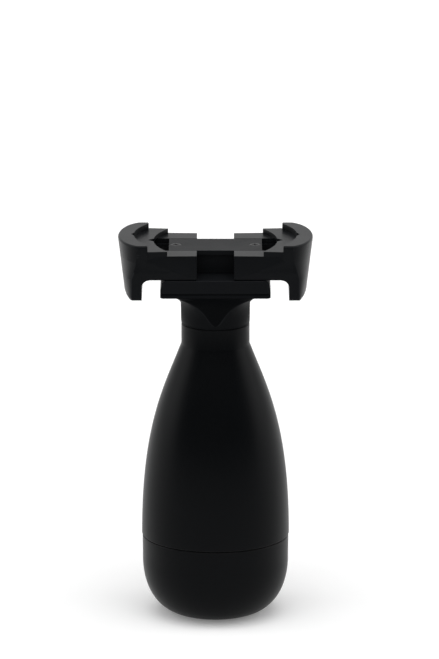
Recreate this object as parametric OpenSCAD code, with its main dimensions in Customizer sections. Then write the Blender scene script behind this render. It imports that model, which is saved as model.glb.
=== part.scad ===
// Painting handle for miniatures: a hollow bottle-shaped grip with a clamp head
// that turns on its neck. Two spring-closed jaws slide on the head and hold a
// model's base between stepped, arc-shaped rims.
// +Z is up, the jaws slide along X, and the origin is on the surface it stands on,
// in the middle of the foot.

/* [Grip] */
// Largest radius of the grip, at its lower seam
body_r = 24; // [21:0.5:28]
// Radius of the neck
neck_r = 11.05; // [10.6:0.05:12]
// Height of the screw-off bottom
cap_h = 26.7; // [24:0.1:34]
// Height of the swell from the seam to the neck
swell_h = 64; // [50:1:80]
// Height of the straight neck
neck_h = 6.75; // [5:0.05:12]
// Rounding of the bottom edge
base_round = 13.7; // [8:0.1:15]
// Wall of the grip
wall = 2.4; // [1.8:0.1:3]
// How much smaller the bottom is than the grip at the seam
seam_step = 0.2; // [0:0.05:0.5]
// Height of the bottom's plug inside the grip
plug_h = 6; // [4:0.5:9]

/* [Foot] */
// Radius of the foot pad
pad_r = 8; // [5:0.5:8.5]
// Thickness of the foot pad
pad_t = 1.2; // [0.8:0.1:1.6]
// How far the pad stands out of the bottom
pad_proud = 0.4; // [0.2:0.1:0.6]

/* [Swivel] */
// Bore of the neck in which the head turns
bore_r = 8; // [7.8:0.05:8.3]
// Depth of the bore
bore_l = 10.6; // [9:0.1:12]
// Thickness of the web that closes the bore
web_t = 2.5; // [2:0.1:4]
// Running clearance of the turning parts, on the radius
run_gap = 0.05; // [0.03:0.01:0.1]
// Thickness of the friction ring
ring_d = 1.8; // [1.2:0.1:2]
// Radius of the swivel screw
bolt_r = 2; // [1.5:0.1:2.3]
// Length of the swivel screw's thread in the head
bolt_grip = 9; // [6:0.5:12]
// Radius of the washer under the swivel screw
washer_r = 5.5; // [4.6:0.1:6.5]
// Thickness of the washer
washer_t = 1; // [0.6:0.1:1.5]

/* [Clamp head] */
// Half width and half depth of the head's plate
plate_r = 17.7; // [17:0.1:18.6]
// Height of the collar below the flare
collar_h = 6.45; // [5:0.05:9]
// Height of the flare
flare_h = 5.6; // [5:0.1:8]
// Half width of the flare's narrow sides at the top
flare_side = 12.4; // [11.8:0.1:13.5]
// Thickness of the plate's lip
lip_t = 1.5; // [1:0.1:2.5]
// Height of the guide block
block_h = 4.3; // [4:0.1:7]
// How far the guide rail's ends stand back from the plate's sides
rail_back = 2.7; // [2.5:0.1:3.5]
// Half width of the guide rail
rail_w = 7; // [6.6:0.1:7.4]
// Thickness of the seat plate
seat_t = 1.5; // [1.2:0.1:1.8]
// How far the seat plate reaches over the jaws
seat_lip = 1.4; // [1:0.1:2]

/* [Jaws] */
// Height of the jaw arms, from the guide block to the seat
arm_h = 7.9; // [7:0.1:9]
// Height of the lower step above the seat
ledge_h = 1.5; // [1:0.1:2.5]
// Height of the upper step above the lower one
rim_h = 1.95; // [1.2:0.05:3]
// Radius of the base that the lower step holds in the modelled position
base_r = 20; // [19.5:0.1:21]
// Distance from the middle to the upper step
rim_x = 26.3; // [26:0.1:26.6]
// Radius of the lower step's arc
ledge_arc = 30; // [28:0.5:34]
// Radius of the upper step's arc
rim_arc = 27; // [26:0.5:30]
// Thickness of the jaw's outer end, at the top
jaw_t = 7.9; // [7.5:0.1:8.8]
// Clearance between the finger grips and the plate, with the jaws closed
grip_gap = 0.3; // [0.25:0.05:0.6]
// How far the finger grip hangs below the jaw arm
grip_drop = 6.95; // [5:0.05:9]
// Distance from the middle to the end of the jaw arms
arm_x = 6; // [5.9:0.05:6.6]
// How far the jaws stand back from the plate's front and back
jaw_back = 0.3; // [0.1:0.1:0.8]
// How far the jaws close from the modelled position
jaw_travel_in = 5.6; // [4.5:0.1:5.6]
// Sliding clearance of the jaws
slide_gap = 0.15; // [0.1:0.01:0.25]

/* [Jaw springs] */
// Radius of the pull rods
rod_r = 1; // [0.8:0.05:1.15]
// Distance of each pull rod from the middle line
rod_y = 3.3; // [3.1:0.05:3.4]
// Mean radius of the springs
coil_r = 1.7; // [1.55:0.05:1.8]
// Radius of the spring wire
wire_r = 0.25; // [0.2:0.05:0.3]
// Turns of each spring
coil_turns = 9; // [6:1:12]
// Gap that the jaws and the heads of the rods keep at the inner limit
beam_gap = 0.7; // [0.4:0.1:1]

/* [Hidden] */
$fn = 96;

grip_colour = [0.075, 0.075, 0.08];
clamp_colour = [0.095, 0.1, 0.11];
steel_colour = [0.62, 0.63, 0.65];
rubber_colour = [0.12, 0.1, 0.085];

// Overrun of the cuts
over = 1;
// Small fit clearance of pieces that are fastened together
fit_gap = 0.05;
// Small edge bevel
edge = 0.3;

// Heights of the grip
cap_z = pad_proud;
seam_z = cap_h;
shoulder_z = seam_z + swell_h;
neck_z = shoulder_z + neck_h;
bore_z = neck_z - bore_l;
web_z = bore_z - web_t;

// Heights of the head
flare_z = neck_z + collar_h;
lip_z = flare_z + flare_h;
block_z = lip_z + lip_t;
floor_z = block_z + block_h;
seat_z = floor_z + arm_h;
ledge_z = seat_z + ledge_h;
top_z = ledge_z + rim_h;
arm_z = floor_z + slide_gap;
grip_z = arm_z - grip_drop;
rail_top_z = seat_z - seat_t;

// Swell of the grip: shares of the swell's height and of its change of radius
swell_rise_share = 0.582;
swell_turn_share = 0.784;
swell_fall_share = 0.604;
// Rounding of the bottom: its height over its width, and how square it is
round_rise_share = 1.33;
round_fill_share = 0.4;

// Fit of the bottom's plug
plug_r = body_r - wall - run_gap;
socket_r = body_r - wall;
bead_r = 0.3;
bead_share = 0.6;

// Pieces of the swivel
pivot_r = bore_r - run_gap;
ring_r = pivot_r - ring_d / 2;
ring_z_share = 0.45;
ring_z = neck_z - bore_l * ring_z_share;
web_gap = 0.6;
bolt_hole_r = bolt_r + web_gap;
bolt_head_r = 1.8 * bolt_r;
bolt_head_h = 1.4 * bolt_r;
key_r = 0.8 * bolt_r;
key_depth_share = 0.6;

// Radius of the flare's corners at the top
flare_r = sqrt(plate_r * plate_r + flare_side * flare_side) + 2 * edge;

// Small screws of the head
screw_r = 1.1;
screw_head_r = 2.1;
screw_head_h = 1.1;
cross_w = 0.5;
cross_depth_share = 0.7;
screw_wall = 3.5;
base_screw_x = 9;
base_screw_y = rail_w + screw_wall;
base_screw_l = 9.3;
seat_screw_r = 1;
seat_screw_head_r = 1.9;
seat_screw_head_h = 1;
seat_screw_l = 6.5;

// Guide block's upper edge, and guide rail
block_round = 1.3;
rail_l = plate_r - rail_back;
post_l = 4.5;
post_x = rail_l - post_l;
seat_screw_x = rail_l - post_l / 2;
trough_wall = 1.3;
trough_w = rail_w - trough_wall;
trough_floor = 0.5;
rod_z_share = 0.54;
rod_z = floor_z + (rail_top_z - floor_z) * rod_z_share;

// Jaw
jaw_d = plate_r - jaw_back;
grip_x = plate_r + jaw_travel_in + grip_gap;
jaw_x = grip_x + jaw_t;
slot_w = rail_w + slide_gap;
lap_w = rail_w + seat_lip + slide_gap;
lap_z = rail_top_z - slide_gap;
beam_x = rail_l + jaw_travel_in + beam_gap;
crease_x = 13.1;
crease_share = 0.327;
crease_turn = 15.4;
crease_lean = 8;
grip_fillet = 2.5;
grip_round = 1.5;
rim_round = 0.8;
lean_share = 0.125;
tip_l = 1.9;
tip_x = grip_x - tip_l;
tip_corner_l = 6.7;
tip_corner_x = jaw_x - tip_corner_l;
corner_l = 4.6;
corner_x = jaw_x - corner_l;
corner_turn = 75;
ledge_taper = 0.6;
ledge_back = 0.2;
ledge_root_d = jaw_d - ledge_back;
ledge_end_d = ledge_root_d - ledge_taper;
ledge_end_x = 15.4;
ledge_skirt = 1;
scoop_turn = 6.7;
scoop_lean = 63.6;
scoop_l = 8;
scoop_depth = 0.06;
scoop_share = 2.04;
notch_w = 1.9;
ledge_x = sqrt(base_r * base_r - notch_w * notch_w)
    + ledge_arc - sqrt(ledge_arc * ledge_arc - notch_w * notch_w);
ledge_notch = 1.8;
rim_notch = 0.9;
rod_head_r = 1.9;
rod_head_h = 1.5;
rod_seat = 4.4;
rod_gap = 0.05;
spring_l = 2 * post_x - jaw_travel_in - rod_head_h - beam_gap;

// Points of a cubic curve through a and d, steered by b and c
function bezier(a, b, c, d, n) = [for (i = [0:n]) let (t = i / n, u = 1 - t)
    a * u * u * u + b * 3 * u * u * t + c * 3 * u * t * t + d * t * t * t];

// Outline of the swell, as [radius, height]
function swell() = bezier([body_r, seam_z],
    [body_r, seam_z + swell_h * swell_rise_share],
    [neck_r + (body_r - neck_r) * (1 - swell_fall_share),
        seam_z + swell_h * swell_turn_share],
    [neck_r, shoulder_z], 26);

// Outline of the bottom, from the flat to the seam
function bottom() = let (r = body_r - seam_step, f = base_round,
    g = base_round * round_rise_share, k = round_fill_share,
    side = r - 0.005 * base_round)
    concat(
        bezier([side - f, cap_z], [side - k * f, cap_z], [side, cap_z + k * g],
            [side, cap_z + g], 16),
        bezier([side, cap_z + g], [side, (cap_z + g + seam_z) / 2],
            [r, (cap_z + g + seam_z) / 2], [r, seam_z - edge], 5),
        [[r - edge, seam_z]]);

// A countersunk screw with a cross recess, its head's top at the origin
module small_screw(r, head_r, head_h, l) {
    difference() {
        union() {
            translate([0, 0, -head_h]) cylinder(r1 = r, r2 = head_r, h = head_h);
            translate([0, 0, -l]) cylinder(r = r, h = l - head_h);
        }
        for (a = [0, 90]) rotate(a)
            translate([-r, -cross_w / 2, -head_h * cross_depth_share])
            cube([2 * r, cross_w, head_h]);
    }
}

// The hole for such a screw
module small_hole(r, head_r, head_h, l) {
    translate([0, 0, -head_h]) cylinder(r1 = r + fit_gap, r2 = head_r + fit_gap,
        h = head_h);
    translate([0, 0, -l - fit_gap]) cylinder(r = r + fit_gap, h = l);
}

module handle_shell() {
    color(grip_colour) difference() {
        rotate_extrude() polygon(concat(
            [[0, seam_z], [body_r - edge, seam_z], [body_r, seam_z + edge]],
            [for (p = swell()) if (p[1] > seam_z + 2 * edge) p],
            [[neck_r, neck_z - edge], [neck_r - edge, neck_z], [0, neck_z]]));
        // Hollow below the web
        rotate_extrude() polygon(concat(
            [[0, seam_z - over], [socket_r, seam_z - over],
                [socket_r, seam_z + plug_h + fit_gap]],
            [for (p = swell()) if (p[1] > seam_z + plug_h + wall && p[1] < web_z)
                [p[0] - wall, p[1]]],
            [[bore_r, web_z], [0, web_z]]));
        // Groove for the plug's bead
        translate([0, 0, seam_z + plug_h * bead_share])
            rotate_extrude() translate([socket_r, 0]) circle(r = bead_r + run_gap);
        // Bore of the swivel and hole for its screw
        translate([0, 0, bore_z]) cylinder(r = bore_r, h = bore_l + over);
        translate([0, 0, web_z - over]) cylinder(r = bolt_hole_r, h = web_t + 2 * over);
    }
}

module bottom_cap() {
    color(grip_colour) difference() {
        union() {
            rotate_extrude() polygon(concat([[0, cap_z]], bottom(), [[0, seam_z]]));
            translate([0, 0, seam_z - edge]) cylinder(r = plug_r, h = plug_h + edge);
            translate([0, 0, seam_z + plug_h * bead_share])
                rotate_extrude() translate([plug_r, 0]) circle(r = bead_r);
        }
        // Hollow, open at the top of the plug
        rotate_extrude() polygon(concat(
            [[0, cap_z + wall]],
            [for (p = bottom()) if (p[1] < seam_z - 2 * edge)
                [max(p[0] - wall, 0), max(p[1], cap_z + wall)]],
            [[plug_r - wall, seam_z], [plug_r - wall, seam_z + plug_h + over],
                [0, seam_z + plug_h + over]]));
        // Seat of the foot pad
        translate([0, 0, cap_z - over]) cylinder(r = pad_r + fit_gap,
            h = pad_t - pad_proud + over);
    }
}

module foot_pad() {
    color(rubber_colour) rotate_extrude() polygon([[0, 0],
        [pad_r - edge, 0], [pad_r, edge], [pad_r, pad_t], [0, pad_t]]);
}

module clamp_base() {
    color(clamp_colour) difference() {
        union() {
            // Collar and flare: three outlines that cross each other
            intersection() {
                rotate_extrude() polygon(concat(
                    [[0, neck_z], [neck_r - edge / 3, neck_z],
                        [neck_r, neck_z + edge / 3]],
                    bezier([neck_r + 0.1 * edge, neck_z + 2 * edge],
                        [neck_r + 0.17 * collar_h, neck_z + 0.7 * collar_h],
                        [neck_r + 0.38 * flare_h, flare_z + 0.48 * flare_h],
                        [flare_r, lip_z], 14),
                    [[flare_r, block_z], [0, block_z]]));
                side_outline();
                front_outline();
            }
            translate([0, 0, lip_z]) plate(plate_r, lip_t);
            translate([0, 0, bore_z]) cylinder(r = pivot_r, h = bore_l + edge);
        }
        // Groove of the friction ring
        translate([0, 0, ring_z]) difference() {
            translate([0, 0, -ring_d / 2 - fit_gap])
                cylinder(r = bore_r, h = ring_d + 2 * fit_gap);
            translate([0, 0, -ring_d]) cylinder(r = pivot_r - ring_d - fit_gap,
                h = 2 * ring_d);
        }
        // Holes of the swivel screw and of the four screws from above
        translate([0, 0, bore_z - over]) cylinder(r = bolt_r + fit_gap,
            h = over + bolt_grip + fit_gap);
        screw_places(floor_z) small_hole(screw_r, screw_head_r, screw_head_h,
            base_screw_l);
    }
}

// The flare seen from the front, as a solid through the head's whole depth
module side_outline() {
    w = neck_r + 0.2 * edge;
    both_ways(concat([[w, neck_z - over]],
        bezier([w, flare_z + 0.4 * flare_h], [w, flare_z + 0.7 * flare_h],
            [w + 0.2 * (flare_side - w), flare_z + 0.92 * flare_h],
            [flare_side, lip_z], 8),
        [[flare_side, lip_z + lip_t / 2]]));
}

// The flare seen from the side
module front_outline() {
    w = neck_r + 0.2 * edge;
    rotate(90) both_ways(concat([[w, neck_z - over]],
        bezier([w, neck_z + edge], [w + 0.1 * collar_h, neck_z + 0.7 * collar_h],
            [w + 0.26 * (plate_r - w), flare_z + 0.54 * flare_h], [plate_r, lip_z], 14),
        [[plate_r, lip_z + lip_t / 2]]));
}

// A symmetrical outline of [half width, height] points, extruded along Y
module both_ways(half) {
    n = len(half);
    translate([0, 2 * plate_r, 0]) rotate([90, 0, 0])
        linear_extrude(height = 4 * plate_r) polygon(concat(half,
            [for (i = [0:n - 1]) [-half[n - 1 - i][0], half[n - 1 - i][1]]]));
}

// A square plate with small corner rounds
module plate(r, h) {
    c = 4 * edge;
    linear_extrude(height = h) difference() {
        square(2 * r, center = true);
        for (a = [0:90:270]) rotate(a) translate([r - c, r - c]) difference() {
            square(2 * c);
            circle(r = c);
        }
    }
}

module screw_places(z) {
    for (x = [-1, 1], y = [-1, 1])
        translate([x * base_screw_x, y * base_screw_y, z]) children();
}

module friction_ring() {
    color(rubber_colour) translate([0, 0, ring_z]) rotate_extrude()
        translate([ring_r, 0]) circle(r = ring_d / 2, $fn = 32);
}

module swivel_washer() {
    color(steel_colour) translate([0, 0, web_z - washer_t]) difference() {
        cylinder(r = washer_r, h = washer_t);
        translate([0, 0, -over]) cylinder(r = bolt_r + fit_gap,
            h = washer_t + 2 * over);
    }
}

module swivel_screw() {
    color(steel_colour) difference() {
        union() {
            translate([0, 0, web_z - washer_t - bolt_head_h])
                cylinder(r = bolt_head_r, h = bolt_head_h);
            translate([0, 0, web_z - washer_t - edge]) cylinder(r = bolt_r,
                h = edge + washer_t + web_t + bolt_grip);
        }
        translate([0, 0, web_z - washer_t - bolt_head_h - over])
            cylinder(r = key_r, h = over + bolt_head_h * key_depth_share, $fn = 6);
    }
}

module guide_block() {
    color(clamp_colour) difference() {
        union() {
            intersection() {
                translate([0, 0, block_z]) plate(plate_r, block_h);
                block_outline();
            }
            translate([-rail_l, -rail_w, floor_z - edge])
                cube([2 * rail_l, 2 * rail_w, rail_top_z - floor_z + edge]);
        }
        // Trough of the springs
        translate([-post_x, -trough_w, floor_z + trough_floor])
            cube([2 * post_x, 2 * trough_w, rail_top_z - floor_z]);
        // One hole for a pull rod in each end
        for (s = [0, 180]) rotate(s) translate([post_x - over, -rod_y, rod_z])
            rotate([0, 90, 0]) cylinder(r = rod_r + rod_gap, h = post_l + 2 * over);
        screw_places(floor_z) small_hole(screw_r, screw_head_r, screw_head_h,
            base_screw_l);
        seat_screw_holes();
    }
}

// The guide block seen from the front: it narrows upwards to rounded edges
module block_outline() {
    r = block_round;
    w = plate_r - 1.8 * edge;
    both_ways(concat(
        [[plate_r - edge, block_z - over], [plate_r - edge, block_z],
            [plate_r, block_z + edge]],
        [for (a = [0:15:90]) [w - r + r * cos(a), floor_z - r + r * sin(a)]]));
}

module seat_screw_holes() {
    for (s = [-1, 1]) translate([s * seat_screw_x, 0, seat_z])
        small_hole(seat_screw_r, seat_screw_head_r, seat_screw_head_h, seat_screw_l);
}

module seat_plate() {
    color(clamp_colour) difference() {
        translate([-rail_l, -rail_w - seat_lip, rail_top_z])
            cube([2 * rail_l, 2 * (rail_w + seat_lip), seat_t]);
        seat_screw_holes();
    }
}

module base_screw(x, y) {
    color(steel_colour) translate([x * base_screw_x, y * base_screw_y, floor_z])
        small_screw(screw_r, screw_head_r, screw_head_h, base_screw_l);
}

module seat_screw(s) {
    color(steel_colour) translate([s * seat_screw_x, 0, seat_z])
        small_screw(seat_screw_r, seat_screw_head_r, seat_screw_head_h, seat_screw_l);
}

// Outer side of the jaw at height z, at the middle of its depth
function lean_x(z) = jaw_x - (top_z - z) * lean_share;

// Outline of the jaw's outer end at height z: flat sides from x = from to x = c,
// then part of an ellipse
function end_ring(z, from, c, inset) = let (x = lean_x(z) - inset,
    d = jaw_d - inset, low = cos(corner_turn), n = 14)
    concat([[from, d, z], [from, -d, z]],
        [for (i = [-n:n]) let (a = i * corner_turn / n)
            [c + (x - c) * (cos(a) - low) / (1 - low), d * sin(a) / sin(corner_turn), z]]);

// A solid through rings of points, from the lowest to the highest
module loft(rings) {
    n = len(rings[0]);
    top = len(rings) - 1;
    at = function (i, j) i * n + j % n;
    polyhedron([for (ring = rings, point = ring) point], concat(
        [[for (j = [0:n - 1]) at(0, j)]],
        [for (i = [0:top - 1], j = [0:n - 1]) [at(i, j), at(i + 1, j), at(i + 1, j + 1)]],
        [for (i = [0:top - 1], j = [0:n - 1]) [at(i, j), at(i + 1, j + 1), at(i, j + 1)]],
        [[for (j = [0:n - 1]) at(top, n - 1 - j)]]));
}

// The jaw's outer end: finger grip, upper step and the rounded edges of both
module outer_end() {
    turn_z = arm_z + 0.7 * arm_h;
    loft(concat(
        [for (a = [90:-30:0]) end_ring(grip_z + grip_round * (1 - sin(a)), grip_x,
            corner_x, grip_round * (1 - cos(a)))],
        [end_ring(arm_z + edge, grip_x, corner_x, 0),
            end_ring(turn_z, grip_x, tip_corner_x, 0),
            end_ring(turn_z + edge, tip_x, tip_corner_x, 0)],
        [for (a = [0:22.5:90]) end_ring(top_z - rim_round * (1 - sin(a)),
            tip_x + edge * (1 - cos(a)), tip_corner_x, rim_round * (1 - cos(a)))]));
}

// A V-shaped notch for a square base's corner, its mouth at x
module corner_notch(x, depth, z) {
    translate([0, 0, z]) linear_extrude(height = over + rim_h + ledge_h)
        polygon([[x - over, -notch_w], [x, -notch_w], [x + depth, 0], [x, notch_w],
            [x - over, notch_w]]);
}

// Both arms as one bar: upright sides, cut back above a slanting crease
module arm_bar() {
    l = grip_x + edge - arm_x;
    difference() {
        translate([arm_x, 0, 0]) rotate([90, 0, 90]) linear_extrude(height = l)
            polygon([[-jaw_d, arm_z + edge], [edge - jaw_d, arm_z],
                [jaw_d - edge, arm_z], [jaw_d, arm_z + edge],
                [jaw_d, seat_z], [-jaw_d, seat_z]]);
        for (s = [0, 1]) mirror([0, s, 0])
            translate([crease_x, -jaw_d, arm_z + arm_h * crease_share])
            rotate([0, -crease_turn, 0]) rotate([-crease_lean, 0, 0])
            translate([-l, -l, 0]) cube([2 * l, l, l]);
    }
}

// One jaw, for the side +X
module jaw() {
    color(clamp_colour) difference() {
        union() {
            arm_bar();
            // Round between the arms' underside and the finger grip
            difference() {
                translate([grip_x - grip_fillet, -jaw_d, arm_z - grip_fillet])
                    cube([grip_fillet + edge, 2 * jaw_d, grip_fillet + 2 * edge]);
                translate([grip_x - grip_fillet, 0, arm_z - grip_fillet])
                    rotate([90, 0, 0]) cylinder(r = grip_fillet, h = 3 * jaw_d,
                        center = true);
            }
            // Lower step
            translate([0, 0, seat_z - ledge_skirt])
                linear_extrude(height = ledge_h + ledge_skirt)
                polygon([[ledge_end_x, -ledge_end_d], [tip_x, -ledge_root_d],
                    [grip_x + edge, -ledge_root_d], [grip_x + edge, ledge_root_d],
                    [tip_x, ledge_root_d], [ledge_end_x, ledge_end_d]]);
            outer_end();
        }
        // Shallow scoop below the crease, widening towards the finger grip
        for (s = [0, 1]) mirror([0, s, 0])
            translate([crease_x, scoop_depth - jaw_d, arm_z + arm_h * crease_share])
            rotate([0, -scoop_turn, -scoop_lean]) rotate([0, 90, 0])
            cylinder(r1 = 0, r2 = scoop_l * scoop_share, h = scoop_l, $fn = 64);
        // Slot for the guide rail, wider above for the seat plate's lips
        translate([arm_x - over, -slot_w, arm_z - over])
            cube([beam_x - arm_x + over, 2 * slot_w, lap_z - arm_z + 2 * over]);
        translate([arm_x - over, -lap_w, lap_z])
            cube([beam_x - arm_x + over, 2 * lap_w, seat_z + slide_gap - lap_z]);
        // Arcs and notches of the two steps
        translate([ledge_x - ledge_arc, 0, seat_z])
            cylinder(r = ledge_arc, h = ledge_h + over, $fn = 180);
        corner_notch(ledge_x, ledge_notch, seat_z);
        translate([rim_x - rim_arc, 0, ledge_z])
            cylinder(r = rim_arc, h = rim_h + over, $fn = 180);
        corner_notch(rim_x, rim_notch, ledge_z);
        // Seat of the pull rod
        translate([beam_x - over, -rod_y, rod_z]) rotate([0, 90, 0])
            cylinder(r = rod_r + fit_gap, h = rod_seat + over + fit_gap);
    }
}

module jaw_left() { rotate(180) jaw(); }
module jaw_right() { jaw(); }

// The headed rod that the spring pushes inwards
module pull_rod() {
    color(steel_colour) translate([post_x - spring_l - rod_head_h, -rod_y, rod_z])
        rotate([0, 90, 0]) {
            cylinder(r = rod_head_r, h = rod_head_h);
            cylinder(r = rod_r, h = rod_head_h + spring_l - post_x + beam_x + rod_seat);
        }
}
module pull_rod_left() { rotate(180) pull_rod(); }
module pull_rod_right() { pull_rod(); }

// A coil along +Z: rings of points round the wire, joined by triangles
module spring() {
    sides = 6;
    steps = coil_turns * 8;
    rise = spring_l - 2 * wire_r;
    points = [for (i = [0:steps], j = [0:sides - 1])
        let (turn = i * 45, a = j * 360 / sides, r = coil_r + wire_r * cos(a))
        [r * cos(turn), r * sin(turn), wire_r + rise * i / steps + wire_r * sin(a)]];
    ring = function (i, j) i * sides + j % sides;
    faces = concat(
        [for (j = [1:sides - 2]) [0, j, j + 1]],
        [for (i = [0:steps - 1], j = [0:sides - 1])
            [ring(i, j), ring(i + 1, j), ring(i + 1, j + 1)]],
        [for (i = [0:steps - 1], j = [0:sides - 1])
            [ring(i, j), ring(i + 1, j + 1), ring(i, j + 1)]],
        [for (j = [1:sides - 2]) [ring(steps, 0), ring(steps, j + 1), ring(steps, j)]]);
    color(steel_colour) translate([post_x - spring_l, -rod_y, rod_z])
        rotate([0, 90, 0]) polyhedron(points, faces);
}
module spring_left() { rotate(180) spring(); }
module spring_right() { spring(); }

handle_shell();
bottom_cap();
foot_pad();
clamp_base();
friction_ring();
swivel_washer();
swivel_screw();
guide_block();
base_screw(-1, -1);  // base_screw_1
base_screw(1, -1);  // base_screw_2
base_screw(-1, 1);  // base_screw_3
base_screw(1, 1);  // base_screw_4
seat_plate();
seat_screw(-1);  // seat_screw_left
seat_screw(1);  // seat_screw_right
jaw_left();
jaw_right();
pull_rod_left();
pull_rod_right();
spring_left();
spring_right();
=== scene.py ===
# Painting handle for miniatures: a bottle-shaped grip with a turning clamp head.
import math
import bpy
import bmesh
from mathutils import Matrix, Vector


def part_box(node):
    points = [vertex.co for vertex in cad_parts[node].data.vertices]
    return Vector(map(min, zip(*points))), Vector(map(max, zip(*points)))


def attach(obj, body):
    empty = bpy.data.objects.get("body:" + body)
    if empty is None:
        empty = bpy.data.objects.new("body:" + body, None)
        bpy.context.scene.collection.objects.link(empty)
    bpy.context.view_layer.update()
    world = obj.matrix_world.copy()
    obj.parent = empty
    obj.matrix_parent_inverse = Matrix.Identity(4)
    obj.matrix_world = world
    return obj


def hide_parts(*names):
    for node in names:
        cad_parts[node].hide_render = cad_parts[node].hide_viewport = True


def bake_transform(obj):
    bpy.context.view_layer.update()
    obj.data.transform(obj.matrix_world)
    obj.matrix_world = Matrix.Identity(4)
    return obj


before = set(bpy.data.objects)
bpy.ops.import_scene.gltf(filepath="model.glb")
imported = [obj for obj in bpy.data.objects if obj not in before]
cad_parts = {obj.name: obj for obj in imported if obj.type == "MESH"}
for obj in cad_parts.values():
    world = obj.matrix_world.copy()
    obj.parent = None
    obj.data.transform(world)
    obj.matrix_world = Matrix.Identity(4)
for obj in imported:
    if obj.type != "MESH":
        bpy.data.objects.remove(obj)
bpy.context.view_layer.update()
mm = 0.001    # pieces are sized in millimetres; the studio, and the trees' inputs, in metres
print("frame loaded:", len(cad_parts), "nodes")


# Nodes of shaders and of Geometry Nodes

def newTree(name, kind, inputs, outputs):
    # A shader group or Geometry Nodes tree, with the ends of its own inputs and outputs
    tree = bpy.data.node_groups.new(name, kind)
    for label, sort, value in inputs:
        socket = tree.interface.new_socket(label, in_out="INPUT",
                                           socket_type="NodeSocket" + sort)
        if value is not None:
            socket.default_value = value
    for label, sort in outputs:
        tree.interface.new_socket(label, in_out="OUTPUT", socket_type="NodeSocket" + sort)
    return (tree, tree.nodes.new("NodeGroupInput").outputs,
            tree.nodes.new("NodeGroupOutput").inputs)


def addNode(tree, kind, inputs=None, **settings):
    # A node with its settings; each input is given another node's output or a plain value
    node = tree.nodes.new(kind)
    for key, value in settings.items():
        setattr(node, key, value)
    for label, value in (inputs or {}).items():
        if hasattr(value, "is_output"):
            tree.links.new(value, node.inputs[label])
        else:
            node.inputs[label].default_value = value
    return node


def mathNode(tree, operation, *values, clamp=False):
    return addNode(tree, "ShaderNodeMath", dict(enumerate(values)), operation=operation,
                   use_clamp=clamp).outputs[0]


def mixColors(tree, factor, first, second):
    return addNode(tree, "ShaderNodeMix", {0: factor, 6: first, 7: second},
                   data_type="RGBA").outputs[2]


# Shader groups that every finish uses

def makeMouldedGrain():
    # Fine pebbled skin of a spark-eroded mould, with faint flow clouds
    group, given, results = newTree("mouldedGrain", "ShaderNodeTree", [
        ("Grain per metre", "Float", 3000.0), ("Cloud per metre", "Float", 60.0),
        ("Grain strength", "Float", 0.3), ("Grain height", "Float", 0.00003)],
        [("Normal", "Vector"), ("Cloud", "Float")])
    place = addNode(group, "ShaderNodeTexCoord").outputs["Object"]
    grain = addNode(group, "ShaderNodeTexNoise", {
        "Vector": place, "Scale": given["Grain per metre"], "Detail": 3.0, "Roughness": 0.6})
    cloud = addNode(group, "ShaderNodeTexNoise", {
        "Vector": place, "Scale": given["Cloud per metre"], "Detail": 4.0})
    bump = addNode(group, "ShaderNodeBump", {
        "Strength": given["Grain strength"], "Distance": given["Grain height"],
        "Height": grain.outputs["Fac"]})
    group.links.new(bump.outputs["Normal"], results["Normal"])
    group.links.new(cloud.outputs["Fac"], results["Cloud"])
    return group


def makeEdgeWear():
    # Rubbed edges: the piece's own "rubbed" attribute, broken up by noise
    group, given, results = newTree("edgeWear", "ShaderNodeTree", [
        ("Patches per metre", "Float", 250.0)], [("Wear", "Float")])
    rubbed = addNode(group, "ShaderNodeAttribute", attribute_name="rubbed").outputs["Fac"]
    place = addNode(group, "ShaderNodeTexCoord").outputs["Object"]
    patches = addNode(group, "ShaderNodeTexNoise", {
        "Vector": place, "Scale": given["Patches per metre"], "Detail": 3.0})
    group.links.new(mathNode(group, "MULTIPLY", rubbed, patches.outputs["Fac"], clamp=True),
                    results["Wear"])
    return group


mouldedGrain = makeMouldedGrain()
edgeWear = makeEdgeWear()
plasticIor = 1.49


def makeFinish(name, look):
    # Grain, clouds between a dark and a light tone, edges rubbed to a third, and a roughness
    # that follows the clouds. A look without gloss is bare metal
    material = bpy.data.materials.new(name)
    material.use_nodes = True
    tree = material.node_tree
    shader = tree.nodes["Principled BSDF"]
    grain = addNode(tree, "ShaderNodeGroup", look["grain"], node_tree=mouldedGrain).outputs
    wear = addNode(tree, "ShaderNodeGroup", look["wear"], node_tree=edgeWear).outputs
    clouded = mixColors(tree, grain["Cloud"], (*look["dark"], 1), (*look["light"], 1))
    color = mixColors(tree, wear["Wear"], clouded, (*look["worn"], 1))
    rough = mathNode(tree, "MULTIPLY_ADD", grain["Cloud"], look["roughSpread"], look["rough"])
    tree.links.new(color, shader.inputs["Base Color"])
    tree.links.new(rough, shader.inputs["Roughness"])
    tree.links.new(grain["Normal"], shader.inputs["Normal"])
    if "gloss" in look:
        shader.inputs["IOR"].default_value = plasticIor
        shader.inputs["Specular IOR Level"].default_value = look["gloss"]
    else:
        shader.inputs["Metallic"].default_value = 1.0
    return material


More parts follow.
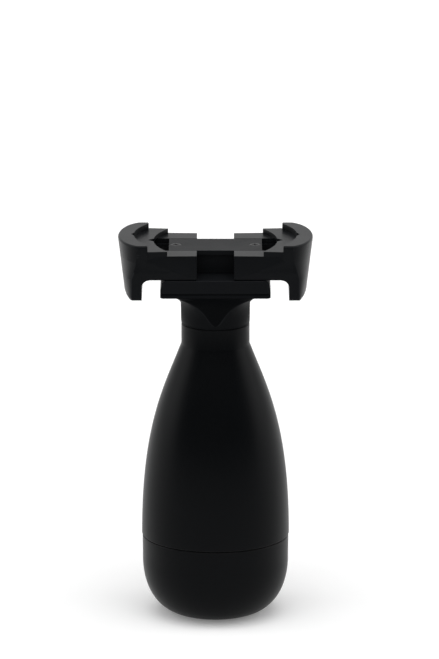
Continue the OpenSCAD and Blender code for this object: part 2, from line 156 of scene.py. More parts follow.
gripPlastic = makeFinish("grip plastic", {
    "grain": {"Grain per metre": 2600, "Cloud per metre": 45, "Grain strength": 0.3,
              "Grain height": 0.00003},
    "wear": {"Patches per metre": 250},
    "dark": (0.0011, 0.0014, 0.0018), "light": (0.0019, 0.0023, 0.0028),
    "worn": (0.006, 0.006, 0.006), "rough": 0.3, "roughSpread": 0.1, "gloss": 0.067})
clampLook = {
    "grain": {"Grain per metre": 3200, "Cloud per metre": 90, "Grain strength": 0.4,
              "Grain height": 0.00004},
    "wear": {"Patches per metre": 250},
    "dark": (0.003, 0.0034, 0.004), "light": (0.0043, 0.0048, 0.0055),
    "worn": (0.016, 0.017, 0.019), "rough": 0.36, "roughSpread": 0.12, "gloss": 0.028}
basePlastic = makeFinish("clamp base plastic", clampLook)
# Front and back faces of the flare: the clamp plastic made darker and less glossy, painted shade
# for the shade that falls on them under the plate
shadedFlatPlastic = makeFinish("clamp flats painted shade", {
    **clampLook, "dark": (0.002, 0.0022, 0.0026), "light": (0.0029, 0.0033, 0.0038),
    "gloss": 0.015})
blockPlastic = makeFinish("guide block plastic", {
    **clampLook, "dark": (0.0042, 0.0047, 0.0055), "light": (0.0058, 0.0064, 0.0073),
    "gloss": 0.035})
jawPlastic = makeFinish("jaw plastic", {
    **clampLook, "dark": (0.0038, 0.0043, 0.005), "light": (0.0052, 0.0058, 0.0066),
    "worn": (0.02, 0.021, 0.023), "rough": 0.28, "roughSpread": 0.08, "gloss": 0.052})
padRubber = makeFinish("foot rubber", {
    "grain": {"Grain per metre": 1800, "Cloud per metre": 120, "Grain strength": 0.6,
              "Grain height": 0.00006},
    "wear": {"Patches per metre": 250},
    "dark": (0.03, 0.024, 0.018), "light": (0.05, 0.04, 0.03), "worn": (0.06, 0.05, 0.04),
    "rough": 0.75, "roughSpread": 0.15, "gloss": 0.2})
zincSteel = makeFinish("zinc steel", {
    "grain": {"Grain per metre": 5000, "Cloud per metre": 400, "Grain strength": 0.1,
              "Grain height": 0.00001},
    "wear": {"Patches per metre": 250},
    "dark": (0.42, 0.42, 0.43), "light": (0.62, 0.62, 0.63), "worn": (0.72, 0.72, 0.72),
    "rough": 0.2, "roughSpread": 0.3})
blackSteel = makeFinish("blackened steel", {    # its oxide skin is no bare metal
    "grain": {"Grain per metre": 5000, "Cloud per metre": 600, "Grain strength": 0.15,
              "Grain height": 0.00001},
    "wear": {"Patches per metre": 250},
    "dark": (0.008, 0.008, 0.009), "light": (0.02, 0.02, 0.021), "worn": (0.05, 0.05, 0.05),
    "rough": 0.32, "roughSpread": 0.2, "gloss": 0.12})
print("materials made")


# Geometry Nodes trees, each from points and a skin to a painted real mesh

def newShape(name, sizes):
    return newTree(name, "GeometryNodeTree", [
        ("Geometry", "Geometry", None), *sizes, ("Skin", "Material", None)],
        [("Geometry", "Geometry")])


def closeShape(tree, given, results, geometry):
    real = addNode(tree, "GeometryNodeRealizeInstances", {0: geometry})
    paint = addNode(tree, "GeometryNodeSetMaterial", {
        "Geometry": real.outputs[0], "Material": given["Skin"]})
    tree.links.new(paint.outputs[0], results["Geometry"])
    return tree


def rollGrid(tree, around, rows, radius, height):
    # A grid rolled up about Z, closed at its seam and, where the radius is 0, at its poles.
    # radius and height are functions that give them from the grid's two shares
    grid = addNode(tree, "GeometryNodeMeshGrid", {
        "Vertices X": mathNode(tree, "ADD", around, 1), "Vertices Y": rows})
    share = addNode(tree, "ShaderNodeSeparateXYZ", {0: grid.outputs["UV Map"]}).outputs
    angle = mathNode(tree, "MULTIPLY", share["X"], 2 * math.pi)
    reach, up = radius(share["X"], share["Y"]), height(share["Y"])
    spot = addNode(tree, "ShaderNodeCombineXYZ", {
        0: mathNode(tree, "MULTIPLY", reach, mathNode(tree, "COSINE", angle)),
        1: mathNode(tree, "MULTIPLY", reach, mathNode(tree, "SINE", angle)), 2: up})
    move = addNode(tree, "GeometryNodeSetPosition", {
        "Geometry": grid.outputs["Mesh"], "Position": spot.outputs[0]})
    seamGap = 0.001 * mm
    return addNode(tree, "GeometryNodeMergeByDistance", {
        0: move.outputs[0], "Distance": seamGap}).outputs[0]


def makeSpinTree():
    # Spins the points of its input, a profile in the plane y = 0, about Z
    tree, given, results = newShape("spinProfile", [("Around", "Int", 96)])
    count = addNode(tree, "GeometryNodeAttributeDomainSize", {
        0: given["Geometry"]}).outputs["Point Count"]
    last = mathNode(tree, "SUBTRACT", count, 1)
    spot = addNode(tree, "GeometryNodeSampleIndex", {"Geometry": given["Geometry"]},
                   data_type="FLOAT_VECTOR", domain="POINT")
    place = addNode(tree, "GeometryNodeInputPosition").outputs[0]
    tree.links.new(place, spot.inputs["Value"])
    profile = addNode(tree, "ShaderNodeSeparateXYZ", {0: spot.outputs[0]}).outputs

    def radius(turn, along):
        row = mathNode(tree, "ROUND", mathNode(tree, "MULTIPLY", along, last))
        tree.links.new(row, spot.inputs["Index"])
        return profile["X"]

    def height(along):
        return profile["Z"]

    return closeShape(tree, given, results,
                      rollGrid(tree, given["Around"], count, radius, height))


def makeCoilTree():
    # A wound spring along X from its start, with closed turns at both ends
    tree, given, results = newShape("coilSpring", [
        ("Start", "Vector", None), ("Direction", "Float", 1.0), ("Length", "Float", 0.0132),
        ("Coil radius", "Float", 0.0017), ("Wire radius", "Float", 0.00025),
        ("Turns", "Float", 9.0), ("Closed turns", "Float", 1.25),
        ("Closed pitch", "Float", 0.00052), ("Steps per turn", "Int", 28),
        ("Wire sides", "Int", 10)])
    steps = mathNode(tree, "MULTIPLY", given["Turns"], given["Steps per turn"])
    line = addNode(tree, "GeometryNodeMeshLine", {"Count": mathNode(tree, "ADD", steps, 1)})
    curve = addNode(tree, "GeometryNodeMeshToCurve", {"Mesh": line.outputs[0]})
    along = mathNode(tree, "DIVIDE", addNode(tree, "GeometryNodeInputIndex").outputs[0], steps)
    # The whole wire lies in touching turns, and the middle ones are drawn out to the length
    closed = mathNode(tree, "DIVIDE", given["Closed turns"], given["Turns"])
    middle = addNode(tree, "ShaderNodeMapRange", {
        "Value": along, "From Min": closed,
        "From Max": mathNode(tree, "SUBTRACT", 1, closed)}).outputs[0]
    touching = mathNode(tree, "MULTIPLY", given["Turns"], given["Closed pitch"])
    free = mathNode(tree, "SUBTRACT", mathNode(tree, "MULTIPLY_ADD", given["Wire radius"], -2,
                                               given["Length"]), touching)
    x = mathNode(tree, "ADD", given["Wire radius"], mathNode(
        tree, "MULTIPLY_ADD", free, middle, mathNode(tree, "MULTIPLY", touching, along)))
    turn = mathNode(tree, "MULTIPLY", mathNode(tree, "MULTIPLY", along, given["Turns"]),
                    2 * math.pi)
    start = addNode(tree, "ShaderNodeSeparateXYZ", {0: given["Start"]}).outputs
    side = mathNode(tree, "MULTIPLY", given["Coil radius"], mathNode(tree, "COSINE", turn))
    up = mathNode(tree, "MULTIPLY", given["Coil radius"], mathNode(tree, "SINE", turn))
    spot = addNode(tree, "ShaderNodeCombineXYZ", {
        0: mathNode(tree, "MULTIPLY_ADD", x, given["Direction"], start["X"]),
        1: mathNode(tree, "MULTIPLY_ADD", side, given["Direction"], start["Y"]),
        2: mathNode(tree, "ADD", up, start["Z"])})
    move = addNode(tree, "GeometryNodeSetPosition", {
        "Geometry": curve.outputs[0], "Position": spot.outputs[0]})
    wire = addNode(tree, "GeometryNodeCurvePrimitiveCircle", {
        "Resolution": given["Wire sides"], "Radius": given["Wire radius"]})
    tube = addNode(tree, "GeometryNodeCurveToMesh", {
        "Curve": move.outputs[0], "Profile Curve": wire.outputs[0], "Fill Caps": True})
    return closeShape(tree, given, results, tube.outputs[0])


def makeScrewTree():
    # A countersunk screw with a cross recess and a rolled thread, set at every point of its
    # input, which is the middle of the head's top
    tree, given, results = newShape("countersunkScrews", [
        ("Head radius", "Float", 0.0021), ("Head height", "Float", 0.0011),
        ("Thread radius", "Float", 0.0011), ("Core radius", "Float", 0.0009),
        ("Length", "Float", 0.0093), ("Pitch", "Float", 0.0008),
        ("Cross width", "Float", 0.0005), ("Cross depth", "Float", 0.0007),
        ("Around", "Int", 32), ("Rows", "Int", 112), ("Seed", "Int", 3)])
    # Shares of the rows at which the tip, shaft and head end, and over which the thread fades
    tip, shaftEnd, headEnd = 0.03, 0.9, 0.95
    fadeIn, fadeOut = 0.12, 0.04
    # Shares of half a pitch between which the thread's flank rises
    root, crest = 0.12, 0.45
    shaft = mathNode(tree, "SUBTRACT", given["Length"], given["Head height"])

    def between(value, low, high):
        return addNode(tree, "ShaderNodeMapRange", {
            "Value": value, "From Min": low, "From Max": high}).outputs[0]

    def height(along):
        risen = mathNode(tree, "MULTIPLY_ADD", shaft, between(along, tip, shaftEnd),
                         mathNode(tree, "MULTIPLY", given["Length"], -1))
        return mathNode(tree, "MULTIPLY_ADD", given["Head height"],
                        between(along, shaftEnd, headEnd), risen)

    def radius(turn, along):
        wound = mathNode(tree, "SUBTRACT",
                         mathNode(tree, "DIVIDE", height(along), given["Pitch"]), turn)
        ridge = between(mathNode(tree, "PINGPONG", wound, 0.5), root, crest)
        faded = mathNode(tree, "MULTIPLY", between(along, tip, tip + fadeIn), mathNode(
            tree, "SUBTRACT", 1, between(along, shaftEnd - fadeOut, shaftEnd)))
        deep = mathNode(tree, "SUBTRACT", given["Thread radius"], given["Core radius"])
        thread = mathNode(tree, "MULTIPLY", mathNode(tree, "MULTIPLY", ridge, faded), deep)
        core = mathNode(tree, "MULTIPLY_ADD", given["Core radius"], between(along, 0, tip),
                        thread)
        wide = mathNode(tree, "SUBTRACT", given["Head radius"], given["Core radius"])
        cone = mathNode(tree, "MULTIPLY", wide, between(along, shaftEnd, headEnd))
        top = mathNode(tree, "MULTIPLY", given["Head radius"], between(along, headEnd, 1))
        return mathNode(tree, "SUBTRACT", mathNode(tree, "ADD", core, cone), top)

    blank = rollGrid(tree, given["Around"], given["Rows"], radius, height)
    cross = addNode(tree, "GeometryNodeMeshBoolean", {"Mesh 1": blank}, operation="DIFFERENCE")
    reach = mathNode(tree, "MULTIPLY", given["Thread radius"], 2)
    tall = mathNode(tree, "MULTIPLY", given["Cross depth"], 2)
    for x, y in ((reach, given["Cross width"]), (given["Cross width"], reach)):
        size = addNode(tree, "ShaderNodeCombineXYZ", {0: x, 1: y, 2: tall}).outputs[0]
        bar = addNode(tree, "GeometryNodeMeshCube", {"Size": size})
        tree.links.new(bar.outputs["Mesh"], cross.inputs["Mesh 2"])
    turns = addNode(tree, "FunctionNodeRandomValue", {
        0: (0, 0, 0), 1: (0, 0, 2 * math.pi), "Seed": given["Seed"]}, data_type="FLOAT_VECTOR")
    placed = addNode(tree, "GeometryNodeInstanceOnPoints", {
        "Points": given["Geometry"], "Instance": cross.outputs["Mesh"],
        "Rotation": turns.outputs[0]})
    return closeShape(tree, given, results, placed.outputs[0])


spinProfile = makeSpinTree()
coilSpring = makeCoilTree()
countersunkScrews = makeScrewTree()


# From meshes to finished pieces

def addObject(name, data):
    made = bpy.data.objects.new(name, data)
    bpy.context.scene.collection.objects.link(made)
    return made


def applied(name, mesh, kind, settings, given=None):
    # The plain mesh that one modifier makes of this mesh
    blank = addObject(name + " blank", mesh)
    modifier = blank.modifiers.new(kind.lower(), kind)
    for key, value in settings.items():
        setattr(modifier, key, value)
    for identifier, value in (given or {}).items():
        modifier[identifier] = value
    bpy.context.view_layer.update()
    result = bpy.data.meshes.new_from_object(
        blank.evaluated_get(bpy.context.evaluated_depsgraph_get()))
    bpy.data.objects.remove(blank)
    return result


def grow(name, points, tree, values):
    # The plain mesh that a tree makes on these points
    start = bpy.data.meshes.new(name + " start")
    start.from_pydata(points, [], [])
    identifiers = {socket.name: socket.identifier for socket in tree.interface.items_tree
                   if socket.in_out == "INPUT"}
    return applied(name, start, "NODES", {"node_group": tree},
                   {identifiers[label]: value for label, value in values.items()})


# A face is slim where it is narrower than slimWidth, as those of a soft edge are. An edge is
# rubbed where its points bend by more than rubbedBend, in radians. Faces within curveAngle
# belong to one curve, and a slim face turns towards large ones within turnAngle, in degrees
shading = {"slimWidth": 0.18, "rubbedBend": 0.2, "curveAngle": 25, "turnAngle": 60}


def isSlim(area, perimeter):
    return 2 * area < shading["slimWidth"] * mm * perimeter


def markRubbed(work):
    # 1 in the middle of each soft convex edge, where all the faces round a point are slim
    rubbed = work.verts.layers.float.new("rubbed")
    slim = {face: isSlim(face.calc_area(), face.calc_perimeter()) for face in work.faces}
    for vert in work.verts:
        bend = sum(edge.calc_face_angle_signed(0) for edge in vert.link_edges)
        vert[rubbed] = float(bend > shading["rubbedBend"]
                             and all(slim[face] for face in vert.link_faces))


def shadeMoulded(mesh):
    # A large face is shaded by itself and the curve it belongs to, and the slim faces of a
    # soft edge turn from one large face to the next
    slim, around = [], [[] for vert in mesh.vertices]
    for face in mesh.polygons:
        rim = sum((mesh.vertices[a].co - mesh.vertices[b].co).length for a, b in face.edge_keys)
        slim.append(isSlim(face.area, rim))
        for vert in face.vertices:
            around[vert].append(face)
    normals = []
    for face in mesh.polygons:
        limit = math.radians(shading["turnAngle" if slim[face.index] else "curveAngle"])
        for vert in face.vertices:
            near = [other for other in around[vert] if face.normal.angle(other.normal, 0) < limit]
            large = [other for other in near if not slim[other.index]]
            normals.append(sum((other.normal * other.area for other in large or near),
                               Vector()).normalized())
    mesh.normals_split_custom_set(normals)


def finish(name, mesh, body, nodes, smoothAngle=None):
    # A finished piece: normals outwards, smooth, on its body and in place of its CAD nodes.
    # Without a body it is left free. Without a smooth angle its
    # large faces are flat beside soft edges
    work = bmesh.new()
    work.from_mesh(mesh)
    bmesh.ops.recalc_face_normals(work, faces=work.faces)
    markRubbed(work)
    work.to_mesh(mesh)
    work.free()
    for face in mesh.polygons:
        face.use_smooth = True
    if smoothAngle is None:
        shadeMoulded(mesh)
    else:
        mesh.set_sharp_from_angle(angle=math.radians(smoothAngle))
    piece = addObject(name, mesh)
    if body:
        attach(piece, body)
    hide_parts(*nodes)
    return piece


# Grip: the bottle-shaped shell, its snapped-in bottom and the pad under it, all turned

def bezier(a, b, c, d, steps):
    points = []
    for i in range(steps + 1):
        t = i / steps
        u = 1 - t
        points.append(tuple(u ** 3 * p + 3 * u * u * t * q + 3 * u * t * t * r + t ** 3 * s
                            for p, q, r, s in zip(a, b, c, d)))
    return points


def rounded(points, radius, steps):
    # The profile with each corner of points rounded by that radius
    out = [points[0]]
    for before, corner, after in zip(points, points[1:], points[2:]):
        p, c, q = Vector(before), Vector(corner), Vector(after)
        reach = min(radius, (p - c).length / 2, (q - c).length / 2)
        start, end = c + (p - c).normalized() * reach, c + (q - c).normalized() * reach
        for i in range(steps + 1):
            t = i / steps
            out.append(tuple((1 - t) ** 2 * start + 2 * t * (1 - t) * c + t * t * end))
    out.append(points[-1])
    return out


grip = {"bodyRadius": 24.0, "neckRadius": 11.05, "seamHeight": 26.7, "shoulderHeight": 90.7,
        "neckTop": 97.45, "chamfer": 0.35, "round": 0.15, "roundSteps": 4, "around": 160,
        # The swell's two middle points, as shares of its height and of its step in radius
        "rise": 0.582, "turn": 0.784, "fall": 0.604, "swellSteps": 90, "smoothAngle": 32}
gripBottom = {"seamStep": 0.2, "footFlat": 0.4, "cornerReach": 13.7, "cornerRise": 1.33,
              "cornerFill": 0.4, "draft": 0.005, "cornerSteps": 36, "sideSteps": 8,
              "seamRun": 0.6}
footPad = {"radius": 7.99, "height": 1.2, "round": 0.35, "roundSteps": 5, "around": 96}


def spin(name, profile, around, skin, node):
    points = [(r * mm, 0, z * mm) for r, z in profile]
    mesh = grow(name, points, spinProfile, {"Around": around, "Skin": skin})
    finish(name, mesh, "handle", [node], grip["smoothAngle"])


def gripProfile():
    low, high, top = grip["seamHeight"], grip["shoulderHeight"], grip["neckTop"]
    r, n, chamfer = grip["bodyRadius"], grip["neckRadius"], grip["chamfer"]
    swell = bezier((r, low), (r, low + (high - low) * grip["rise"]),
                   (n + (r - n) * (1 - grip["fall"]), low + (high - low) * grip["turn"]),
                   (n, high), grip["swellSteps"])
    # The seam's chamfer takes the place of the swell's first points
    seam = [(0, low), (r - chamfer, low), (r, low + chamfer), swell[3]]
    neck = [swell[-1], (n, top - chamfer), (n - chamfer, top), (0, top)]
    return (rounded(seam, grip["round"], grip["roundSteps"]) + swell[4:-1]
            + rounded(neck, grip["round"], grip["roundSteps"]))


def bottomProfile():
    b, seam, chamfer = gripBottom, grip["seamHeight"], grip["chamfer"]
    r, low = grip["bodyRadius"] - b["seamStep"], b["footFlat"]
    f, g, k = b["cornerReach"], b["cornerReach"] * b["cornerRise"], b["cornerFill"]
    side = r - b["draft"] * f
    edge = [(r, seam - b["seamRun"]), (r, seam - chamfer), (r - chamfer, seam), (0, seam)]
    return ([(0, low)]
            + bezier((side - f, low), (side - k * f, low), (side, low + k * g),
                     (side, low + g), b["cornerSteps"])
            + bezier((side, low + g), (side, (low + g + seam) / 2), (r, (low + g + seam) / 2),
                     (r, seam - chamfer), b["sideSteps"])[1:-1]
            + rounded(edge, grip["round"], grip["roundSteps"]))


def padProfile():
    r, h = footPad["radius"], footPad["height"]
    return rounded([(0, 0), (r, 0), (r, h), (0, h)], footPad["round"], footPad["roundSteps"])


spin("gripShell", gripProfile(), grip["around"], gripPlastic, "handle_shell")
spin("gripBottom", bottomProfile(), grip["around"], gripPlastic, "bottom_cap")
spin("footPad", padProfile(), footPad["around"], padRubber, "foot_pad")
print("grip turned")


# Clamp base: collar and flare where a turned shape meets two flat-sided ones, the plate
# above them, and the pivot that turns in the neck

clampBase = {"neckRadius": 11.05, "collarBottom": 97.45, "collarEdge": 0.3,
             "collarHeight": 6.45, "flareHeight": 5.6, "flareCorner": 22.21,
             "flareHalfWidth": 12.4, "lipBottom": 109.5, "lipTop": 111.0,
             "plateHalf": 17.7, "plateCorner": 1.2, "plateCornerSteps": 8, "plateEdge": 0.16,
             "shadowGap": 0.4, "gapDepth": 0.9,
             # Shares of the flare's size at which each of its three outlines bends
             "turnedBend": (0.17, 0.7, 0.38, 0.48), "sideBend": (0.4, 0.7, 0.2, 0.92),
             "frontBend": (0.1, 0.7, 0.26, 0.54),
             # Points round a quarter: on the flat side, the round corner and the flat front
             "quarter": (8, 26, 10), "rows": 64, "outlineSteps": 60, "sideSteps": 30,
             "pivotRadius": 7.95, "pivotBottom": 86.85, "pivotEdge": 0.3, "pivotAround": 96,
             "ringRadius": 0.95, "ringHeight": 92.68, "overlap": 0.7, "overlapInset": 0.02,
             "smoothAngle": 30}


def flareOutlines():
    # Radius of the turned shape, half width of the flat sides and of the flat front, by height
    c = clampBase
    neck, bottom, top, edge = c["neckRadius"], c["collarBottom"], c["lipBottom"], c["collarEdge"]
    collar, flare, start = c["collarHeight"], c["flareHeight"], bottom + c["collarHeight"]
    flat = neck + 0.2 * edge    # the flat shapes begin just outside the collar
    a, b, d, e = c["turnedBend"]
    turned = [(neck - edge / 3, bottom), (neck, bottom + edge / 3)] + bezier(
        (neck + 0.1 * edge, bottom + 2 * edge), (neck + a * collar, bottom + b * collar),
        (neck + d * flare, start + e * flare), (c["flareCorner"], top), c["outlineSteps"])
    a, b, d, e = c["sideBend"]
    side = [(flat, bottom)] + bezier(
        (flat, start + a * flare), (flat, start + b * flare),
        (flat + d * (c["flareHalfWidth"] - flat), start + e * flare),
        (c["flareHalfWidth"], top), c["sideSteps"])
    a, b, d, e = c["frontBend"]
    front = bezier(
        (flat, bottom + edge), (flat + a * collar, bottom + b * collar),
        (flat + d * (c["plateHalf"] - flat), start + e * flare),
        (c["plateHalf"], top), c["outlineSteps"])
    return turned, side, front


def widthAt(outline, z):
    thinnest = 1e-9    # keeps a level stretch from dividing by 0
    for (r0, z0), (r1, z1) in zip(outline, outline[1:]):
        if z <= z1:
            return r0 + (r1 - r0) * max(0.0, z - z0) / max(z1 - z0, thinnest)
    return outline[-1][0]


def flareSection(turned, width, depth, counts):
    # One quarter of the section at a height, from +X to +Y: flat side, round corner, flat front
    w, d = min(width, turned), min(depth, turned)
    y = min(math.sqrt(max(turned ** 2 - w ** 2, 0)), d)
    x = min(math.sqrt(max(turned ** 2 - d ** 2, 0)), w)
    first, middle, last = counts
    points = [(w, y * i / first) for i in range(first)]
    start, end, reach = math.atan2(y, w), math.atan2(d, x), math.hypot(w, y)
    for i in range(middle):
        a = start + (end - start) * i / middle
        points.append((reach * math.cos(a), reach * math.sin(a)))
    points += [(x - x * i / last, d) for i in range(last)]
    return points


def addShell(work, rings):
    # A closed skin over rings of points, capped at both ends
    made = [[work.verts.new((x * mm, y * mm, z * mm)) for x, y, z in ring] for ring in rings]
    count = len(made[0])
    for low, high in zip(made, made[1:]):
        for i in range(count):
            work.faces.new((low[i], low[(i + 1) % count], high[(i + 1) % count], high[i]))
    work.faces.new(list(reversed(made[0])))
    work.faces.new(made[-1])
    return made


def addFlare(work):
    c = clampBase
    bottom, top, edge, quarter = c["collarBottom"], c["lipBottom"], c["collarEdge"], c["quarter"]
    turned, side, front = flareOutlines()
    heights = [bottom, bottom + edge / 6, bottom + edge / 3, bottom + 2 * edge]
    heights += [heights[3] + (top - heights[3]) * math.sin(math.pi / 2 * i / c["rows"])
                for i in range(1, c["rows"] + 1)]
    rings = []
    for z in heights + [top + c["overlap"]]:
        inset = c["overlapInset"] if z > top else 0
        radius = widthAt(turned, z)
        width, depth = widthAt(side, z) - inset, widthAt(front, z) - inset
        ring = flareSection(radius, width, depth, quarter)
        ring += [(-y, x) for x, y in flareSection(radius, depth, width, quarter[::-1])]
        ring += [(-x, -y) for x, y in ring]
        rings.append([(x, y, z) for x, y in ring])
    made = addShell(work, rings)
    # Columns of points where flat meets round stay sharp, and the front and back faces get the
    # second skin, whose darker colour is painted shade
    count, start, columns, shadedFlats = len(made[0]), 0, [], []
    for first, middle, last in (quarter, quarter[::-1]) * 2:
        columns += [start + first, start + first + middle]
        if (first, middle, last) == quarter:
            shadedFlats += [(start + first + middle + i) % count for i in range(2 * last)]
        start += sum(quarter)
    for low, high in zip(made, made[1:]):
        for i in columns:
            work.edges.get((low[i], high[i])).smooth = False
        for i in shadedFlats:
            after = (i + 1) % count
            work.faces.get((low[i], low[after], high[after], high[i])).material_index = 1
    bmesh.ops.remove_doubles(work, verts=work.verts, dist=0.002 * mm)
    bmesh.ops.dissolve_degenerate(work, dist=0.0001 * mm, edges=work.edges)


def addPlate(work):
    # The square lip, each edge rounded in two short steps, and the narrower layer that makes
    # the shadow gap above it
    c = clampBase
    half, corner = c["plateHalf"], c["plateCorner"]
    steps, edge = c["plateCornerSteps"], c["plateEdge"]
    outline = []
    for k, (sideX, sideY) in enumerate(((1, 1), (-1, 1), (-1, -1), (1, -1))):
        for i in range(steps + 1):
            a = math.pi / 2 * (k + i / steps)
            outline.append(((half - corner) * sideX + corner * math.cos(a),
                            (half - corner) * sideY + corner * math.sin(a)))

    def ring(z, inset):
        return [(x * (1 - inset / half), y * (1 - inset / half), z) for x, y in outline]

    low, high = c["lipBottom"], c["lipTop"]
    shadow = high - c["shadowGap"]
    addShell(work, [ring(low, edge), ring(low + 0.3 * edge, 0.3 * edge), ring(low + edge, 0),
                    ring(shadow - edge, 0), ring(shadow - 0.3 * edge, 0.3 * edge),
                    ring(shadow, edge), ring(shadow, c["gapDepth"]), ring(high, c["gapDepth"])])


def addPivot(work):
    # The round pivot, with the groove of the friction ring
    c = clampBase
    r, edge, low = c["pivotRadius"], c["pivotEdge"], c["pivotBottom"]
    middle, g = c["ringHeight"], c["ringRadius"]
    profile = [(r - edge, low), (r, low + edge), (r, middle - g), (r - 2 * g, middle - g),
               (r - 2 * g, middle + g), (r, middle + g), (r, c["collarBottom"] + edge)]
    angles = [2 * math.pi * i / c["pivotAround"] for i in range(c["pivotAround"])]
    addShell(work, [[(p * math.cos(a), p * math.sin(a), z) for a in angles] for p, z in profile])


def makeClampBase():
    work = bmesh.new()
    addFlare(work)
    addPlate(work)
    addPivot(work)
    mesh = bpy.data.meshes.new("clampBase")
    work.to_mesh(mesh)
    work.free()
    mesh.materials.append(basePlastic)
    # Second skin: painted shade on the front and back faces of the flare
    mesh.materials.append(shadedFlatPlastic)
    finish("clampBase", mesh, "head", ["clamp_base"], clampBase["smoothAngle"])


makeClampBase()
print("clamp base made")


# Moulded pieces of the head: the frame's solids, cleaned, with soft edges

mouldings = {
    "guideBlock": {"node": "guide_block", "body": "head", "skin": blockPlastic,
                   "width": 0.15, "angle": 28},
    "seatPlate": {"node": "seat_plate", "body": "head", "skin": blockPlastic,
                  "width": 0.15, "angle": 28},
    "jawLeft": {"node": "jaw_left", "body": "left_jaw", "skin": jawPlastic,
                "width": 0.28, "angle": 42},
    "jawRight": {"node": "jaw_right", "body": "right_jaw", "skin": jawPlastic,
                 "width": 0.28, "angle": 42}}
# An edge is softened where its neighbours are longer than endRoom times the soft width
cleaning = {"merge": 0.01, "flatAngle": 0.6, "endRoom": 1.3, "segments": 3}


def soften(name, node, body, skin, width, angle):
    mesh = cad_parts[node].data.copy()
    work = bmesh.new()
    work.from_mesh(mesh)
    merge = cleaning["merge"] * mm
    bmesh.ops.remove_doubles(work, verts=work.verts, dist=merge)
    bmesh.ops.dissolve_degenerate(work, dist=merge, edges=work.edges)
    bmesh.ops.dissolve_limit(work, angle_limit=math.radians(cleaning["flatAngle"]),
                             verts=work.verts, edges=work.edges)
    # Edges that face outwards are softened where no short edge at their ends is in the way
    weight = work.edges.layers.float.new("bevel_weight_edge")
    for edge in work.edges:
        shortest = min(near.calc_length() for vert in edge.verts for near in vert.link_edges)
        facing = sum((face.normal for face in edge.link_faces), Vector())
        middle = (edge.verts[0].co + edge.verts[1].co) / 2
        edge[weight] = float(edge.calc_face_angle_signed(0) > math.radians(angle)
                             and shortest > cleaning["endRoom"] * width * mm
                             and facing.xy.dot(middle.xy) > 0)
    work.to_mesh(mesh)
    work.free()
    mesh.materials.clear()
    mesh.materials.append(skin)
    mesh = applied(name, mesh, "BEVEL", {
        "width": width * mm, "segments": cleaning["segments"], "limit_method": "WEIGHT",
        "use_clamp_overlap": False})
    finish(name, mesh, body, [node])


for pieceName, sizes in mouldings.items():
    soften(pieceName, **sizes)
nodeSkins = {"swivel_screw": zincSteel, "swivel_washer": zincSteel,
             "pull_rod_left": zincSteel, "pull_rod_right": zincSteel,
             "friction_ring": padRubber}    # plain turned parts that stay as the frame has them
for nodeName, skin in nodeSkins.items():
    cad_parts[nodeName].data.materials.clear()
    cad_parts[nodeName].data.materials.append(skin)
print("head made")


# Small screws, and the springs that pull the jaws in

screws = {"pitch": 0.8, "coreShare": 0.8, "threadShare": 0.52, "headShare": 0.524,
          "crossWidth": 0.5, "crossDepthShare": 0.7, "smoothAngle": 40}
springs = {"wireRadius": 0.25, "turns": 9.0, "closedTurns": 1.25, "closedPitch": 0.52,
           "smoothAngle": 60}


def setScrews(name, nodes, seed):
    boxes = [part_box(node) for node in nodes]
    tops = [((low.x + high.x) / 2, (low.y + high.y) / 2, high.z) for low, high in boxes]
    size = boxes[-1][1] - boxes[-1][0]
    head = size.x / 2
    thread, headHeight = head * screws["threadShare"], head * screws["headShare"]
    mesh = grow(name, tops, countersunkScrews, {
        "Head radius": head, "Head height": headHeight, "Thread radius": thread,
        "Core radius": thread * screws["coreShare"], "Length": size.z,
        "Pitch": screws["pitch"] * mm, "Cross width": screws["crossWidth"] * mm,
        "Cross depth": headHeight * screws["crossDepthShare"], "Seed": seed, "Skin": blackSteel})
    finish(name, mesh, "head", nodes, screws["smoothAngle"])


def windSpring(name, node, direction):
    low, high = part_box(node)
    middle = (low + high) / 2
    start = (low if direction > 0 else high).x
    end = (high if direction > 0 else low).x
    wire = springs["wireRadius"] * mm
    mesh = grow(name, [], coilSpring, {
        "Start": (start, middle.y, middle.z), "Direction": direction, "Length": abs(end - start),
        "Coil radius": (high.z - low.z) / 2 - wire, "Wire radius": wire,
        "Turns": springs["turns"], "Closed turns": springs["closedTurns"],
        "Closed pitch": springs["closedPitch"] * mm, "Skin": zincSteel})
    piece = finish(name, mesh, None, [node], springs["smoothAngle"])
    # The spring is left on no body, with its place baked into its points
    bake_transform(piece)


setScrews("blockScrews", ["base_screw_1", "base_screw_2", "base_screw_3", "base_screw_4"], 3)
setScrews("seatScrews", ["seat_screw_left", "seat_screw_right"], 5)
windSpring("springRight", "spring_right", 1.0)
windSpring("springLeft", "spring_left", -1.0)
print("screws and springs made")


# Floor, lamps, curtain and camera, in metres

# What the camera and reflections see of the floor glows more from nearEdge to farEdge
floor = {"half": 3.0, "tone": 0.9, "roughness": 0.9,
         "nearEdge": 0.25, "farEdge": 0.9, "nearGlow": 0.15, "farGlow": 0.4}
# The world lights with worldLight, and seen directly or in reflections it is white
roomLight = {"worldLight": 0.25, "sunPower": 1.8, "sunSpread": 90, "sunTilt": 40}
softboxes = {"top box": {"place": (0, 0.0, 1.2), "target": (0, 0, 0.1),
                         "width": 1.1, "height": 1.1, "power": 5.5},
             "left box": {"place": (-0.9, 0.1, 0.5), "target": (0, 0, 0.08),
                          "width": 0.5, "height": 0.8, "power": 1.5},
             "right box": {"place": (0.9, 0.1, 0.5), "target": (0, 0, 0.08),
                           "width": 0.5, "height": 0.8, "power": 1.5}}
curtain = {"track": [(-2.2, -0.6), (-2.2, -2.2), (2.2, -2.2), (2.2, -0.6)], "height": 2.4,
           "tone": 0.05, "roughness": 0.9}
camera = {"place": (0.00131, -1.7, 0.5251), "down": 14.2, "lens": 295.97, "sensor": 36,
          "farthest": 20}


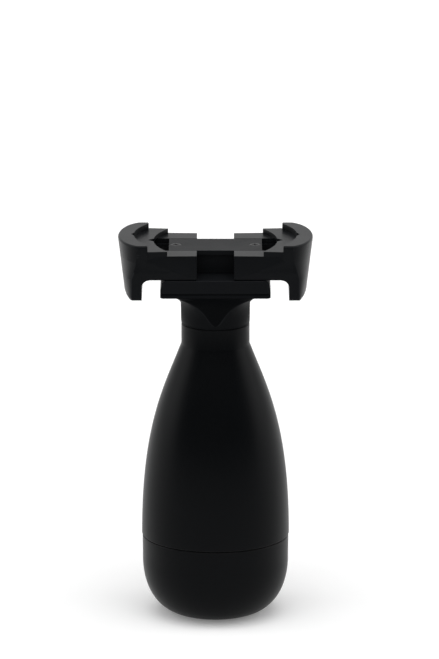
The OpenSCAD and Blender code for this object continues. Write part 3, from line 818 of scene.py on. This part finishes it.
def addStage(name, corners, faces, sizes):
    # A stage piece of one plain grey
    mesh = bpy.data.meshes.new(name)
    mesh.from_pydata(corners, [], faces)
    material = bpy.data.materials.new(name + " grey")
    material.use_nodes = True
    shader = material.node_tree.nodes["Principled BSDF"]
    shader.inputs["Base Color"].default_value = (sizes["tone"], sizes["tone"], sizes["tone"], 1)
    shader.inputs["Roughness"].default_value = sizes["roughness"]
    mesh.materials.append(material)
    piece = addObject(name, mesh)
    return piece


def layFloor():
    h = floor["half"]
    corners = [(-h, -h, 0), (h, -h, 0), (h, h, 0), (-h, h, 0)]
    piece = addStage("floor", corners, [(0, 1, 2, 3)], floor)
    tree = piece.data.materials[0].node_tree
    shader = tree.nodes["Principled BSDF"]
    shader.inputs["Specular IOR Level"].default_value = 0.0
    path = addNode(tree, "ShaderNodeLightPath").outputs
    direct = mathNode(tree, "MAXIMUM", path["Is Camera Ray"], path["Is Glossy Ray"])
    # Far from the object, where the lamps fade, it stays white so
    away = addNode(tree, "ShaderNodeVectorMath", {
        0: addNode(tree, "ShaderNodeTexCoord").outputs["Object"]}, operation="LENGTH")
    strength = addNode(tree, "ShaderNodeMapRange", {
        "Value": away.outputs["Value"], "From Min": floor["nearEdge"],
        "From Max": floor["farEdge"], "To Min": floor["nearGlow"], "To Max": floor["farGlow"]})
    glow = addNode(tree, "ShaderNodeEmission", {
        "Strength": mathNode(tree, "MULTIPLY", direct, strength.outputs[0])})
    both = addNode(tree, "ShaderNodeAddShader", {0: shader.outputs[0], 1: glow.outputs[0]})
    tree.links.new(both.outputs[0], tree.nodes["Material Output"].inputs["Surface"])


def hangCurtain():
    # The dark room behind the camera, which only reflections meet
    corners = [(x, y, z) for z in (0, curtain["height"]) for x, y in curtain["track"]]
    piece = addStage("curtain", corners, [(0, 1, 5, 4), (1, 2, 6, 5), (2, 3, 7, 6)], curtain)
    piece.visible_camera = piece.visible_diffuse = piece.visible_shadow = False


def lightRoom():
    world = bpy.data.worlds.new("studio")
    bpy.context.scene.world = world
    world.use_nodes = True
    tree = world.node_tree
    back = tree.nodes["Background"]
    back.inputs["Color"].default_value = (1, 1, 1, 1)
    path = addNode(tree, "ShaderNodeLightPath").outputs
    seen = mathNode(tree, "MAXIMUM", path["Is Camera Ray"], mathNode(
        tree, "MAXIMUM", path["Is Glossy Ray"], path["Is Transmission Ray"]))
    light = roomLight["worldLight"]
    tree.links.new(mathNode(tree, "MULTIPLY_ADD", seen, 1 - light, light),
                   back.inputs["Strength"])
    for name, box in softboxes.items():
        lamp = bpy.data.lights.new(name, "AREA")
        lamp.shape = "RECTANGLE"
        lamp.size, lamp.size_y, lamp.energy = box["width"], box["height"], box["power"]
        holder = addObject(name, lamp)
        holder.location = box["place"]
        aim = Vector(box["target"]) - Vector(box["place"])
        holder.rotation_euler = aim.to_track_quat("-Z", "Y").to_euler()
    sun = bpy.data.lights.new("soft sky", "SUN")
    sun.energy = roomLight["sunPower"]
    sun.angle = math.radians(roomLight["sunSpread"])
    addObject("soft sky", sun).rotation_euler = (math.radians(roomLight["sunTilt"]), 0, 0)


def setCamera():
    view = bpy.data.cameras.new("camera")
    view.lens, view.sensor_width = camera["lens"], camera["sensor"]
    view.clip_end = camera["farthest"]
    holder = addObject("camera", view)
    holder.location = camera["place"]
    holder.rotation_euler = (math.radians(90 - camera["down"]), 0, 0)
    bpy.context.scene.camera = holder
    bpy.context.scene.view_settings.view_transform = "Standard"


layFloor()
lightRoom()
hangCurtain()
setCamera()
print("studio set")
